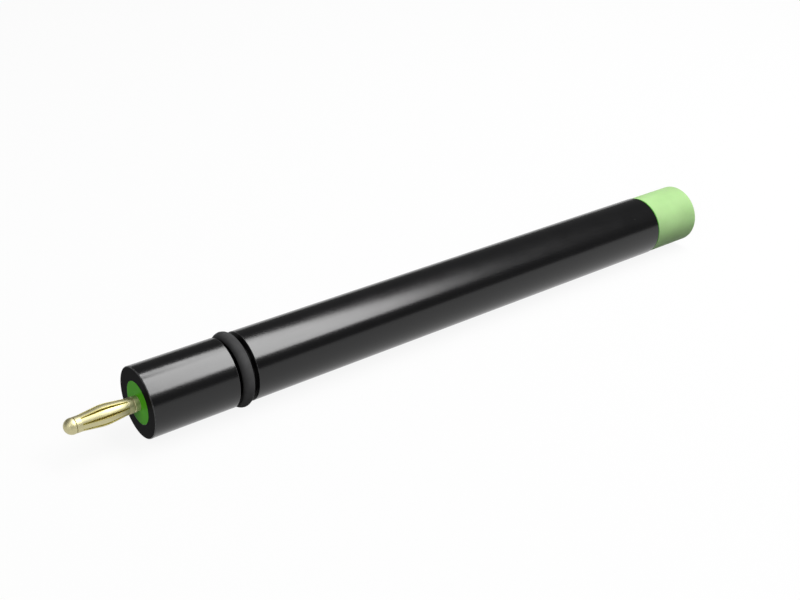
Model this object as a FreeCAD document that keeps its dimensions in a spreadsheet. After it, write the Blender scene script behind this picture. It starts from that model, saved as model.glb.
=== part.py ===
import FreeCAD, Part
import math
import os
import re
import Sketcher

# Nitrate sensor probe: a turned barrel lying along X, its lantern plug towards -X and its sensing
# tip towards +X. The origin is the centre of the barrel's rear face. Millimetres, Z up.

# Driving sizes: alias, value, what it is.
SIZES = [
    ("barrel_radius", 8.0, "outside of the barrel"),
    ("barrel_length", 154.4, "rear face to the seam with the tip"),
    ("barrel_edge", 0.18, "chamfer on the barrel's two outer edges"),
    ("bore_radius", 4.2, "bore through the middle of the barrel"),
    ("bond_gap", 0.03, "film of adhesive, gel or potting between two round faces"),
    ("seal_groove_start", 20.0, "rear face to the near wall of the sealing ring's groove"),
    ("seal_groove_width", 4.7, "width of that groove"),
    ("seal_groove_depth", 1.95, "depth of that groove"),
    ("seal_groove_edge", 0.12, "broken edge of that groove"),
    ("seal_section_radius", 1.31, "half the thickness of the body's sealing ring"),
    ("seal_seat_gap", 0.01, "stretched ring above the groove's floor"),
    ("tip_step", 0.12, "tip slimmer than the barrel all round"),
    ("tip_length", 15.8, "tip beyond the seam"),
    ("tip_edge", 0.15, "chamfer round the tip's end face"),
    ("tip_seam_edge", 0.22, "chamfer on the tip at the seam"),
    ("socket_radius", 6.2, "counterbore that takes the tip's spigot"),
    ("socket_depth", 14.0, "depth of that counterbore"),
    ("spigot_end_gap", 0.3, "end of the spigot to the counterbore's floor"),
    ("spigot_edge", 0.4, "lead-in chamfer on the spigot"),
    ("spigot_groove_start", 4.6, "seam to the near wall of the spigot's ring groove"),
    ("spigot_groove_width", 1.9, "width of that groove"),
    ("spigot_groove_depth", 1.2, "depth of that groove, from the counterbore's wall"),
    ("tip_ring_width", 1.7, "squeezed width of the ring in that groove"),
    ("tip_ring_flat", 0.6, "share of that width that lies flat on floor and wall"),
    ("chamber_radius", 3.6, "electrolyte chamber inside the tip"),
    ("membrane_radius", 4.9, "sensing membrane"),
    ("membrane_thickness", 0.5, "sensing membrane"),
    ("membrane_recess", 0.3, "outer face of the membrane below the tip's end face"),
    ("insulator_radius", 4.8, "green bush in the rear face"),
    ("insulator_length", 12.0, "length of the bush"),
    ("insulator_edge", 0.4, "lead-in chamfer at the bush's inner end"),
    ("glue_groove_depth", 0.4, "adhesive grooves round the bush"),
    ("glue_groove_width", 1.0, "width of each adhesive groove"),
    ("glue_groove_pitch", 3.0, "spacing of the adhesive grooves"),
    ("base_collar_radius", 1.7, "collar of the contact pin against the bush"),
    ("base_collar_length", 1.2, "length of that collar"),
    ("base_collar_edge", 0.15, "chamfer on that collar"),
    ("head_radius", 1.76, "ball of the pin's head"),
    ("head_length", 2.2, "head from its back to the tip of the ball"),
    ("cage_collar_radius", 1.74, "outside of the cage's two collars"),
    ("cage_length", 12.4, "cage from end to end"),
    ("cage_collar_length", 1.15, "each collar of the cage"),
    ("cage_bulge_radius", 2.28, "outside of the bowed leaves at their crown"),
    ("cage_crown_radius", 11.5, "bend of the leaves along their crown"),
    ("cage_crown_length", 2.96, "length of that bend"),
    ("cage_sheet", 0.2, "thickness of the spring sheet"),
    ("cage_end_float", 0.12, "cage to the head, and cage to the base collar"),
    ("running_clearance", 0.05, "cage's collars round the core of the pin"),
    ("leaf_count", 8, "leaves of the cage"),
    ("slot_width", 0.44, "slot between two leaves at the crown"),
    ("slot_end_width", 0.14, "the same slot at its ends"),
    ("seam_width", 0.1, "butt seam where the rolled sheet meets"),
    ("cage_turn", 28.0, "degrees by which the cage is turned as it lies"),
    ("shank_radius", 1.2, "shank of the pin inside the bush"),
    ("barb_radius", 1.45, "barbs that hold the shank"),
    ("barb_length", 1.5, "length of one barb"),
    ("barb_start", 2.5, "rear face to the first barb"),
    ("cup_length", 3.2, "depth of the solder cup in the pin's inner end"),
    ("cup_radius", 0.75, "hole of the solder cup"),
    ("cup_cut_length", 1.6, "stretch where half of the cup's wall is cut away"),
    ("shank_reach", 5.0, "solder cup beyond the bush"),
    ("conductor_radius", 0.3, "copper core of the lead"),
    ("insulation_radius", 0.75, "outside of the lead's insulation"),
    ("strip_length", 1.5, "bare core between the solder cup and the insulation"),
    ("potting_length", 10.0, "potting behind the bush"),
    ("bare_wire_length", 5.0, "bare silver wire between the splice and the stopper"),
    ("ferrule_gap", 1.0, "insulation to the crimped ferrule"),
    ("ferrule_length", 8.0, "crimped ferrule, half of it on each wire"),
    ("ferrule_wall", 0.4, "wall of the ferrule"),
    ("ferrule_fill", 0.3, "wires stop this far from the ferrule's middle"),
    ("sleeve_wall", 0.25, "shrunk sleeve over the splice"),
    ("sleeve_lap", 4.0, "sleeve's reach past the ferrule over insulation and wire"),
    ("silver_radius", 0.5, "silver wire"),
    ("silver_stop", 7.4, "end of the silver wire to the membrane"),
    ("stopper_to_spigot", 8.7, "stopper to the end of the tip's spigot"),
    ("stopper_length", 10.0, "length of the stopper"),
    ("stopper_rib_depth", 0.35, "grooves between the ribs of the stopper"),
    ("stopper_rib_width", 1.6, "width of each of those grooves"),
]

# Sizes that follow from the driving ones: alias, formula.
FOLLOWING = [
    ("cage_rear", "-(base_collar_length + cage_end_float)"),
    ("cage_front", "cage_rear - cage_length"),
    ("head_back", "cage_front - cage_end_float"),
    ("head_tip", "head_back - head_length"),
    ("head_rim_radius", "sqrt(head_radius ^ 2 - (head_length - head_radius) ^ 2)"),
    ("cage_inner_radius", "cage_collar_radius - cage_sheet"),
    ("core_radius", "cage_inner_radius - running_clearance"),
    ("leaf_rear", "cage_rear - cage_collar_length"),
    ("leaf_front", "cage_front + cage_collar_length"),
    ("cage_middle", "(cage_rear + cage_front) / 2"),
    ("crown_half", "cage_crown_length / 2"),
    ("crown_sag", "cage_crown_radius - sqrt(cage_crown_radius ^ 2 - crown_half ^ 2)"),
    ("crown_end_radius", "cage_bulge_radius - crown_sag"),
    ("slot_half_length", "(leaf_rear - leaf_front) / 2"),
    ("slot_sag", "(slot_width - slot_end_width) / 2"),
    ("slot_side_radius", "(slot_half_length ^ 2 + slot_sag ^ 2) / (2 * slot_sag)"),
    ("insulator_seat_radius", "insulator_radius + bond_gap"),
    ("seal_groove_end", "seal_groove_start + seal_groove_width"),
    ("seal_floor_radius", "barrel_radius - seal_groove_depth"),
    ("seal_middle", "(seal_groove_start + seal_groove_end) / 2"),
    ("seal_ring_radius", "seal_floor_radius + seal_seat_gap + seal_section_radius"),
    ("tip_radius", "barrel_radius - tip_step"),
    ("socket_start", "barrel_length - socket_depth"),
    ("spigot_start", "socket_start + spigot_end_gap"),
    ("spigot_radius", "socket_radius - bond_gap"),
    ("spigot_groove_front", "barrel_length - spigot_groove_start"),
    ("spigot_groove_rear", "spigot_groove_front - spigot_groove_width"),
    ("spigot_floor_radius", "socket_radius - spigot_groove_depth"),
    ("tip_ring_inner", "spigot_floor_radius + bond_gap"),
    ("tip_ring_outer", "socket_radius - bond_gap"),
    ("tip_ring_middle", "(spigot_groove_front + spigot_groove_rear) / 2"),
    ("tip_ring_flat_half", "tip_ring_width * tip_ring_flat / 2"),
    ("tip_ring_half", "tip_ring_width / 2"),
    ("tip_end", "barrel_length + tip_length"),
    ("membrane_front", "tip_end - membrane_recess"),
    ("membrane_rear", "membrane_front - membrane_thickness"),
    ("membrane_seat_radius", "membrane_radius + bond_gap"),
    ("shank_length", "insulator_length + shank_reach"),
    ("cup_floor", "shank_length - cup_length"),
    ("solder_radius", "cup_radius - bond_gap"),
    ("conductor_bore", "conductor_radius + bond_gap"),
    ("lead_start", "shank_length + strip_length"),
    ("potting_start", "insulator_length + bond_gap"),
    ("potting_end", "potting_start + potting_length"),
    ("filled_radius", "bore_radius - bond_gap"),
    ("stopper_end", "spigot_start - stopper_to_spigot"),
    ("stopper_start", "stopper_end - stopper_length"),
    ("ferrule_end", "stopper_start - bare_wire_length - sleeve_lap"),
    ("ferrule_start", "ferrule_end - ferrule_length"),
    ("ferrule_middle", "(ferrule_start + ferrule_end) / 2"),
    ("lead_end", "ferrule_start - ferrule_gap"),
    ("silver_bore", "silver_radius + bond_gap"),
    ("ferrule_radius", "silver_bore + ferrule_wall"),
    ("crimp_radius", "conductor_bore + ferrule_wall"),
    ("sleeve_bore", "ferrule_radius + bond_gap"),
    ("sleeve_lead_bore", "insulation_radius + bond_gap"),
    ("silver_start", "ferrule_middle + ferrule_fill"),
    ("silver_end", "membrane_rear - silver_stop"),
    ("gel_start", "stopper_end + bond_gap"),
    ("gel_end", "membrane_rear - bond_gap"),
    ("gel_tip_radius", "chamber_radius - bond_gap"),
]

ALIASES = {row[0] for row in SIZES} | {row[0] for row in FOLLOWING}

doc = FreeCAD.newDocument("nitrate_sensor_probe")
sheet = doc.addObject("Spreadsheet::Sheet", "sizes")


def linked(formula, prefix):
    """The formula with each alias in it written as a reference to the sheet."""
    def name_or_word(found):
        word = found.group(0)
        return prefix + word if word in ALIASES else word
    return re.sub(r"[a-z_]+", name_or_word, formula)


def fill_sheet():
    """Column A says what a size is, column B holds it under its alias."""
    row = 0
    for alias, value, note in SIZES:
        row += 1
        sheet.set(f"A{row}", note)
        sheet.set(f"B{row}", str(value))
        sheet.setAlias(f"B{row}", alias)
    for alias, formula in FOLLOWING:
        row += 1
        sheet.set(f"A{row}", formula)
        sheet.set(f"B{row}", "=" + linked(formula, ""))
        sheet.setAlias(f"B{row}", alias)
    doc.recompute()


fill_sheet()


def value_of(formula):
    """The number that a formula of aliases gives now."""
    return float(sheet.evalExpression(linked(formula, "sizes.")))


def bind(thing, target, formula):
    thing.setExpression(target, linked(formula, "sizes."))


def origin_feature(body, role):
    """One of the body's own base planes or axes."""
    return next(feature for feature in body.Origin.OriginFeatures if feature.Role == role)


def arc_between(start, end, radius, centre_on_left):
    """Arc of a circle from start to end with its centre left or right of that way.
    Returns the arc and which of its two ends start and end are."""
    chord = end - start
    half = chord.Length / 2
    left = FreeCAD.Vector(-chord.y, chord.x, 0).normalize()
    rise = math.sqrt(max(radius * radius - half * half, 0.0))
    centre = (start + end) / 2 + left * (rise if centre_on_left else -rise)
    first, last = (start, end) if centre_on_left else (end, start)
    angles = [math.atan2(point.y - centre.y, point.x - centre.x) for point in (first, last)]
    circle = Part.Circle(centre, FreeCAD.Vector(0, 0, 1), radius)
    arc = Part.ArcOfCircle(circle, angles[0], angles[1])
    return (arc, 1, 2) if centre_on_left else (arc, 2, 1)


def place_point(sketch, line, end, axis, formula):
    """Holds one coordinate of a corner at a size of the sheet, or on the axis where it is 0."""
    if formula == "0":
        sketch.addConstraint(Sketcher.Constraint("PointOnObject", line, end, -2 if axis == "X" else -1))
        return
    held = sketch.addConstraint(Sketcher.Constraint("Distance" + axis, line, end, value_of(formula)))
    bind(sketch, f"Constraints[{held}]", formula)


def outline(body, name, corners):
    """Closed sketch on the body's XY plane, gone round with the material on the left.
    A corner is (x, y), or (x, y, radius, bulge) where an arc leads on from it to the next:
    bulge is "out" for an arc that swells out of the material and "in" for one that dents it."""
    sketch = body.newObject("Sketcher::SketchObject", name)
    sketch.AttachmentSupport = (origin_feature(body, "XY_Plane"), "")
    sketch.MapMode = "FlatFace"
    points = [FreeCAD.Vector(value_of(corner[0]), value_of(corner[1]), 0) for corner in corners]
    ends = []
    for index, corner in enumerate(corners):
        start = points[index]
        end = points[(index + 1) % len(points)]
        if len(corner) == 2:
            line = sketch.addGeometry(Part.LineSegment(start, end))
            ends.append((line, 1, 2))
            continue
        arc, first, last = arc_between(start, end, value_of(corner[2]), corner[3] == "out")
        line = sketch.addGeometry(arc)
        ends.append((line, first, last))
    for index, (line, first, last) in enumerate(ends):
        following, following_first, _ = ends[(index + 1) % len(ends)]
        sketch.addConstraint(Sketcher.Constraint("Coincident", line, last, following, following_first))
        place_point(sketch, line, first, "X", corners[index][0])
        place_point(sketch, line, first, "Y", corners[index][1])
        if len(corners[index]) > 2:
            held = sketch.addConstraint(Sketcher.Constraint("Radius", line, value_of(corners[index][2])))
            bind(sketch, f"Constraints[{held}]", corners[index][2])
    return sketch


def turned(label, corners):
    """Body turned about X from an outline of (x, radius) corners."""
    body = doc.addObject("PartDesign::Body", label)
    body.Label = label
    profile = outline(body, label + "_profile", corners)
    solid = body.newObject("PartDesign::Revolution", label + "_turned")
    solid.Profile = profile
    solid.ReferenceAxis = (profile, ["H_Axis"])
    solid.Angle = 360
    doc.recompute()
    return body


def cut_volume(body, feature):
    """A cut has to take something away."""
    before = body.Shape.Volume
    body.Tip = feature
    doc.recompute()
    if body.Shape.Volume > before - 0.001:
        raise ValueError(feature.Name + " cuts nothing")


def pocket(body, name, corners, depth, upwards):
    """Cuts an outline out of the body, from the XY plane up or down as deep as said."""
    sketch = outline(body, name + "_outline", corners)
    cut = body.newObject("PartDesign::Pocket", name)
    cut.Profile = sketch
    cut.Reversed = upwards
    bind(cut, "Length", depth)
    return cut


def tube(label, start, end, inner, outer):
    """Plain round tube along X."""
    return turned(label, [(start, inner), (end, inner), (end, outer), (start, outer)])


def rod(label, start, end, radius):
    """Plain round rod along X."""
    return turned(label, [(start, "0"), (end, "0"), (end, radius), (start, radius)])


def ring(label, middle, ring_radius, section_radius):
    """Round sealing ring about X."""
    torus = doc.addObject("Part::Torus", label)
    torus.Label = label
    bind(torus, "Radius1", ring_radius)
    bind(torus, "Radius2", section_radius)
    quarter_turn = FreeCAD.Rotation(FreeCAD.Vector(0, 1, 0), 90)
    torus.Placement = FreeCAD.Placement(FreeCAD.Vector(value_of(middle), 0, 0), quarter_turn)
    bind(torus, "Placement.Base.x", middle)
    return torus


def make_tip_ring():
    """Sealing ring squeezed between the spigot's groove and the counterbore: flat on both, with
    its sides standing out at mid height."""
    middle_radius = "(tip_ring_inner + tip_ring_outer) / 2"
    return turned("tip_seal_ring", [
        ("tip_ring_middle - tip_ring_flat_half", "tip_ring_inner"),
        ("tip_ring_middle + tip_ring_flat_half", "tip_ring_inner"),
        ("tip_ring_middle + tip_ring_half", middle_radius),
        ("tip_ring_middle + tip_ring_flat_half", "tip_ring_outer"),
        ("tip_ring_middle - tip_ring_flat_half", "tip_ring_outer"),
        ("tip_ring_middle - tip_ring_half", middle_radius),
    ])


def make_barrel():
    """Tube with the bush's counterbore at the rear, the spigot's at the front, and the ring's groove."""
    floor = "seal_floor_radius"
    lip = "barrel_radius - seal_groove_edge"
    return turned("barrel", [
        ("0", "insulator_seat_radius"),
        ("insulator_length", "insulator_seat_radius"),
        ("insulator_length", "bore_radius"),
        ("socket_start", "bore_radius"),
        ("socket_start", "socket_radius"),
        ("barrel_length", "socket_radius"),
        ("barrel_length", "barrel_radius - barrel_edge"),
        ("barrel_length - barrel_edge", "barrel_radius"),
        ("seal_groove_end + seal_groove_edge", "barrel_radius"),
        ("seal_groove_end", lip),
        ("seal_groove_end", floor),
        ("seal_groove_start", floor),
        ("seal_groove_start", lip),
        ("seal_groove_start - seal_groove_edge", "barrel_radius"),
        ("barrel_edge", "barrel_radius"),
        ("0", "barrel_radius - barrel_edge"),
    ])


def make_tip():
    """Cap with a spigot that seats in the barrel, a ring groove, the chamber and the membrane's seat."""
    return turned("sensing_tip", [
        ("spigot_start", "chamber_radius"),
        ("membrane_rear", "chamber_radius"),
        ("membrane_rear", "membrane_seat_radius"),
        ("tip_end", "membrane_seat_radius"),
        ("tip_end", "tip_radius - tip_edge"),
        ("tip_end - tip_edge", "tip_radius"),
        ("barrel_length + tip_seam_edge", "tip_radius"),
        ("barrel_length", "tip_radius - tip_seam_edge"),
        ("barrel_length", "spigot_radius"),
        ("spigot_groove_front", "spigot_radius"),
        ("spigot_groove_front", "spigot_floor_radius"),
        ("spigot_groove_rear", "spigot_floor_radius"),
        ("spigot_groove_rear", "spigot_radius"),
        ("spigot_start + spigot_edge", "spigot_radius"),
        ("spigot_start", "spigot_radius - spigot_edge"),
    ])


def make_insulator():
    """Bush with two adhesive grooves, bored for the shank's barbs."""
    bore = "barb_radius + bond_gap"
    floor = "insulator_radius - glue_groove_depth"
    corners = [
        ("0", bore),
        ("insulator_length", bore),
        ("insulator_length", "insulator_radius - insulator_edge"),
        ("insulator_length - insulator_edge", "insulator_radius"),
    ]
    for number in (2, 1):
        front = f"{number} * glue_groove_pitch + glue_groove_width"
        rear = f"{number} * glue_groove_pitch"
        corners += [(front, "insulator_radius"), (front, floor), (rear, floor), (rear, "insulator_radius")]
    corners.append(("0", "insulator_radius"))
    return turned("rear_insulator", corners)


def make_contact_pin():
    """Turned pin: ball head, core, base collar, barbed shank and solder cup."""
    corners = [
        ("head_tip", "0"),
        ("cup_floor", "0"),
        ("cup_floor", "cup_radius"),
        ("shank_length", "cup_radius"),
        ("shank_length", "shank_radius"),
    ]
    for number in (3, 2, 1):
        rear = f"barb_start + {number - 1} * barb_length"
        corners += [
            (f"{rear} + barb_length / 2", "shank_radius"),
            (rear, "barb_radius"),
            (rear, "shank_radius"),
        ]
    corners += [
        ("0", "shank_radius"),
        ("0", "base_collar_radius"),
        ("base_collar_edge - base_collar_length", "base_collar_radius"),
        ("-base_collar_length", "base_collar_radius - base_collar_edge"),
        ("-base_collar_length", "core_radius"),
        ("head_back", "core_radius"),
        ("head_back", "head_rim_radius", "head_radius", "out"),
    ]
    body = turned("contact_pin", corners)
    reach = "shank_radius + cup_radius"
    cup_cut = pocket(body, "cup_opening", [
        ("shank_length - cup_cut_length", "-(" + reach + ")"),
        ("shank_length + cup_radius", "-(" + reach + ")"),
        ("shank_length + cup_radius", reach),
        ("shank_length - cup_cut_length", reach),
    ], reach, True)
    cut_volume(body, cup_cut)
    return body


def make_cage():
    """Spring sheet rolled to a sleeve with a collar at each end: its leaves run straight up from the
    collars, bend over a crown and run down again. Each slot is a slim lens, widest at the crown,
    because leaves of an even width stand apart where they bow out."""
    inner = "cage_inner_radius"
    inner_crown = "cage_crown_radius - cage_sheet"
    body = turned("lantern_cage", [
        ("cage_front", inner),
        ("leaf_front", inner),
        ("cage_middle - crown_half", "crown_end_radius - cage_sheet", inner_crown, "in"),
        ("cage_middle + crown_half", "crown_end_radius - cage_sheet"),
        ("leaf_rear", inner),
        ("cage_rear", inner),
        ("cage_rear", "cage_collar_radius"),
        ("leaf_rear", "cage_collar_radius"),
        ("cage_middle + crown_half", "crown_end_radius", "cage_crown_radius", "out"),
        ("cage_middle - crown_half", "crown_end_radius"),
        ("leaf_front", "cage_collar_radius"),
        ("cage_front", "cage_collar_radius"),
    ])
    slot = pocket(body, "slot", [
        ("leaf_front", "-slot_end_width / 2", "slot_side_radius", "out"),
        ("leaf_rear", "-slot_end_width / 2"),
        ("leaf_rear", "slot_end_width / 2", "slot_side_radius", "out"),
        ("leaf_front", "slot_end_width / 2"),
    ], "cage_bulge_radius + cage_sheet", False)
    cut_volume(body, slot)
    slots = body.newObject("PartDesign::PolarPattern", "slots")
    slots.Originals = [slot]
    slots.Axis = (origin_feature(body, "X_Axis"), [""])
    slots.Angle = 360
    bind(slots, "Occurrences", "leaf_count")
    cut_volume(body, slots)
    seam = pocket(body, "seam", [
        ("cage_front - cage_sheet", "-seam_width / 2"),
        ("cage_rear + cage_sheet", "-seam_width / 2"),
        ("cage_rear + cage_sheet", "seam_width / 2"),
        ("cage_front - cage_sheet", "seam_width / 2"),
    ], "cage_bulge_radius + cage_sheet", False)
    cut_volume(body, seam)
    body.Placement = FreeCAD.Placement(
        FreeCAD.Vector(0, 0, 0), FreeCAD.Rotation(FreeCAD.Vector(1, 0, 0), value_of("cage_turn")))
    bind(body, "Placement.Rotation.Angle", "cage_turn")
    return body


def make_membrane():
    """Disc on the shoulder in the tip's end, a little below the end face."""
    return rod("sensing_membrane", "membrane_rear", "membrane_front", "membrane_radius")


def make_gel():
    """Electrolyte from the stopper to the membrane, round the silver wire."""
    return turned("filling_gel", [
        ("gel_start", "silver_bore"),
        ("silver_end + bond_gap", "silver_bore"),
        ("silver_end + bond_gap", "0"),
        ("gel_end", "0"),
        ("gel_end", "gel_tip_radius"),
        ("spigot_start - bond_gap", "gel_tip_radius"),
        ("spigot_start - bond_gap", "filled_radius"),
        ("gel_start", "filled_radius"),
    ])


def make_stopper():
    """Bung with two grooves between its three sealing ribs, round the silver wire."""
    floor = "filled_radius - stopper_rib_depth"
    corners = [
        ("stopper_start", "silver_bore"),
        ("stopper_end", "silver_bore"),
        ("stopper_end", "filled_radius"),
    ]
    for number in (2, 1):
        middle = f"stopper_start + {number} * stopper_length / 3"
        front = f"{middle} + stopper_rib_width / 2"
        rear = f"{middle} - stopper_rib_width / 2"
        corners += [(front, "filled_radius"), (front, floor), (rear, floor), (rear, "filled_radius")]
    corners.append(("stopper_start", "filled_radius"))
    return turned("inner_stopper", corners)


def make_potting():
    """Potting behind the bush, cast round the pin's end, the bare core and the lead."""
    return turned("rear_potting", [
        ("potting_start", "shank_radius + bond_gap"),
        ("shank_length + bond_gap", "shank_radius + bond_gap"),
        ("shank_length + bond_gap", "conductor_bore"),
        ("lead_start - bond_gap", "conductor_bore"),
        ("lead_start - bond_gap", "sleeve_lead_bore"),
        ("potting_end", "sleeve_lead_bore"),
        ("potting_end", "filled_radius"),
        ("potting_start", "filled_radius"),
    ])


def make_ferrule():
    """Ferrule crimped down on the thin conductor and round on the thicker silver wire."""
    return turned("splice_ferrule", [
        ("ferrule_start", "conductor_bore"),
        ("ferrule_middle", "conductor_bore"),
        ("ferrule_middle", "silver_bore"),
        ("ferrule_end", "silver_bore"),
        ("ferrule_end", "ferrule_radius"),
        ("ferrule_middle", "ferrule_radius"),
        ("ferrule_middle - ferrule_wall", "crimp_radius"),
        ("ferrule_start", "crimp_radius"),
    ])


def make_sleeve():
    """Shrunk sleeve that follows the lead, the ferrule and the silver wire."""
    lead_lap = "ferrule_start - sleeve_lap"
    wire_lap = "ferrule_end + sleeve_lap"
    wire_bore = "silver_bore"
    return turned("splice_sleeve", [
        (lead_lap, "sleeve_lead_bore"),
        ("lead_end", "sleeve_lead_bore"),
        ("ferrule_start - bond_gap", "sleeve_bore"),
        ("ferrule_end + bond_gap", "sleeve_bore"),
        ("ferrule_end + ferrule_gap", wire_bore),
        (wire_lap, wire_bore),
        (wire_lap, wire_bore + " + sleeve_wall"),
        ("ferrule_end + ferrule_gap", wire_bore + " + sleeve_wall"),
        ("ferrule_end + bond_gap", "sleeve_bore + sleeve_wall"),
        ("ferrule_start - bond_gap", "sleeve_bore + sleeve_wall"),
        ("lead_end", "sleeve_lead_bore + sleeve_wall"),
        (lead_lap, "sleeve_lead_bore + sleeve_wall"),
    ])


def make_all():
    """Every piece, from the plug to the membrane."""
    return [
        make_barrel(),
        make_tip(),
        make_insulator(),
        make_contact_pin(),
        make_cage(),
        ring("body_seal_ring", "seal_middle", "seal_ring_radius", "seal_section_radius"),
        make_tip_ring(),
        make_membrane(),
        make_gel(),
        rod("silver_wire", "silver_start", "silver_end", "silver_radius"),
        make_stopper(),
        rod("lead_conductor", "cup_floor + bond_gap", "ferrule_middle - ferrule_fill", "conductor_radius"),
        tube("lead_insulation", "lead_start", "lead_end", "conductor_bore", "insulation_radius"),
        make_ferrule(),
        make_sleeve(),
        tube("solder_joint", "cup_floor + bond_gap", "shank_length", "conductor_bore", "solder_radius"),
        make_potting(),
    ]


pieces = make_all()
doc.recompute()

for thing in doc.Objects:
    if "Invalid" in thing.State or "Error" in thing.State:
        raise ValueError(thing.Name + " failed: " + str(thing.State))

for piece in pieces:
    if piece.Shape.isNull() or not piece.Shape.isValid() or len(piece.Shape.Solids) != 1:
        raise ValueError(piece.Label + " is no sound solid")
    piece.Shape.exportStep("parts/" + piece.Label + ".step")
    print(piece.Label, round(piece.Shape.Volume, 2))
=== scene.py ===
import math

import bpy
import numpy as np
from bpy.props import FloatProperty, FloatVectorProperty, IntProperty, PointerProperty
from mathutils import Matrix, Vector


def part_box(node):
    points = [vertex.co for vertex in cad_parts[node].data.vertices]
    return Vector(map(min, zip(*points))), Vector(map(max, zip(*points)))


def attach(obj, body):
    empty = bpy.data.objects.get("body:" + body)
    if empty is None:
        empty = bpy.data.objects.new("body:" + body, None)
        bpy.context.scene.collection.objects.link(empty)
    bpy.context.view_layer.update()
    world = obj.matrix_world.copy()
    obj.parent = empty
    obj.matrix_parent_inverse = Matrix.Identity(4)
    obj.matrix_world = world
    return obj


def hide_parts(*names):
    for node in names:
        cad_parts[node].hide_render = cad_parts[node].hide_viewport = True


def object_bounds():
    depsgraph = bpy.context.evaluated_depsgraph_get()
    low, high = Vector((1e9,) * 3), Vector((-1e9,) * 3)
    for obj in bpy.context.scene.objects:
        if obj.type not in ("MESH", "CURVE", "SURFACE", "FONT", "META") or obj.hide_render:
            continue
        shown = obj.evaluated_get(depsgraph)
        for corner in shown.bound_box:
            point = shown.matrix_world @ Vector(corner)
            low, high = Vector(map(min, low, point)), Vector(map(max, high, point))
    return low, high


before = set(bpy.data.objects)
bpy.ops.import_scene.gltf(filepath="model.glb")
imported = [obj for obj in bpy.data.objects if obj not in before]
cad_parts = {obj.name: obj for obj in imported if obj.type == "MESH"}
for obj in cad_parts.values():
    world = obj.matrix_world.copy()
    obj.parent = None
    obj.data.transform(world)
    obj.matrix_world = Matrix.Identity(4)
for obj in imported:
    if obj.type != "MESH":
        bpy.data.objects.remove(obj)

CAD_BOX = [list(corner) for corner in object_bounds()]
BARREL_LOW, BARREL_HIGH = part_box("barrel")
TIP_LOW, TIP_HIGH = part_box("sensing_tip")

bl_info = {
    "name": "Nitrate probe",
    "version": (1, 0, 0),
    "blender": (4, 5, 0),
    "location": "3D View > Sidebar > Probe",
    "description": "Turned surfaces, sprung lantern plug and finishes of a plug-in nitrate probe",
    "category": "Object",
}

MM = 0.001

# Steps of a rounding, the support points near the ends of a straight run, and how far the wear of
# an edge reaches.
ARC_STEPS = 6
SUPPORT = np.array([0.03, 0.09, 0.25, 0.6]) * MM
WEAR_REACH = 0.12 * MM

# In radians, the least turn of a profile that is rounded and the least that counts as an edge. Then
# the share of a straight run that a rounding may take, and that its support points may.
LEAST_TURN = 0.02
EDGE_TURN = 0.3
ROUNDING_SHARE = 0.45
SUPPORT_SHARE = 0.4

# Even steps round the sealing ring's section, and the steps, half width and spread in radians of
# the moulding line on it.
SECTION_STEPS = 64
FLASH_STEPS = 9
FLASH_REACH = 0.09
FLASH_SPREAD = 0.03

# Grid of the lantern cage: rows of a collar from its end, the first rows of a leaf past the collar,
# where its even rows start and how many they are, columns of a leaf, where the butt seam lies, how
# softly a leaf's slope fades into the collar, and how fast its edge value falls across it.
COLLAR_ROWS = np.array([0, 0.03, 0.08, 0.2, 0.45, 0.7, 0.95, 1.07, 1.12]) * MM
LEAF_FIRST_ROWS = np.array([0, 0.03, 0.08]) * MM
LEAF_EVEN_START = 0.15 * MM
LEAF_EVEN_ROWS = 34
LEAF_COLUMNS = 13
SEAM_ANGLE = math.radians(298.0)
SLOPE_FADE = 0.05 * MM
EDGE_FALL = 9.0

# Steps of the ball on the pin's head, and the least distance between two different places.
BALL_STEPS = 40
TOUCHING = 1e-9

# Steps round the floor and up its rim, the rings of its flat part and the start of its rim as
# shares of its reach, and how much its fibres darken it.
FLOOR_STEPS = 96
RIM_STEPS = 17
FLOOR_RINGS = np.array([0.05, 0.3, 0.6])
RIM_START = 0.8
FIBRE_SHADE = 0.985

# Nearly all of a noise lies between these two values.
NOISE_LOW = 0.3
NOISE_HIGH = 0.7

# Colours of the dust on hard and on soft pieces.
HARD_DUST = (0.4, 0.39, 0.37)
SOFT_DUST = (0.35, 0.34, 0.32)


# Settings

def amount(name, description, default, least=0.0, **more):
    return FloatProperty(name=name, description=description, default=default, min=least, **more)


def triple(name, description, default, subtype, **more):
    return FloatVectorProperty(name=name, description=description, default=default, size=3,
                               subtype=subtype, **more)


def whole(name, description, default, least):
    return IntProperty(name=name, description=description, default=default, min=least)


def size(name, description, default):
    """A length in metres, given in millimetres."""
    return amount(name, description, default * MM, precision=6, unit="LENGTH")


def colour(name, description, default):
    return triple(name, description, default, "COLOR", min=0.0, max=1.0)


def share(name, description, default):
    return amount(name, description, default, max=1.0, subtype="FACTOR")


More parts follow.
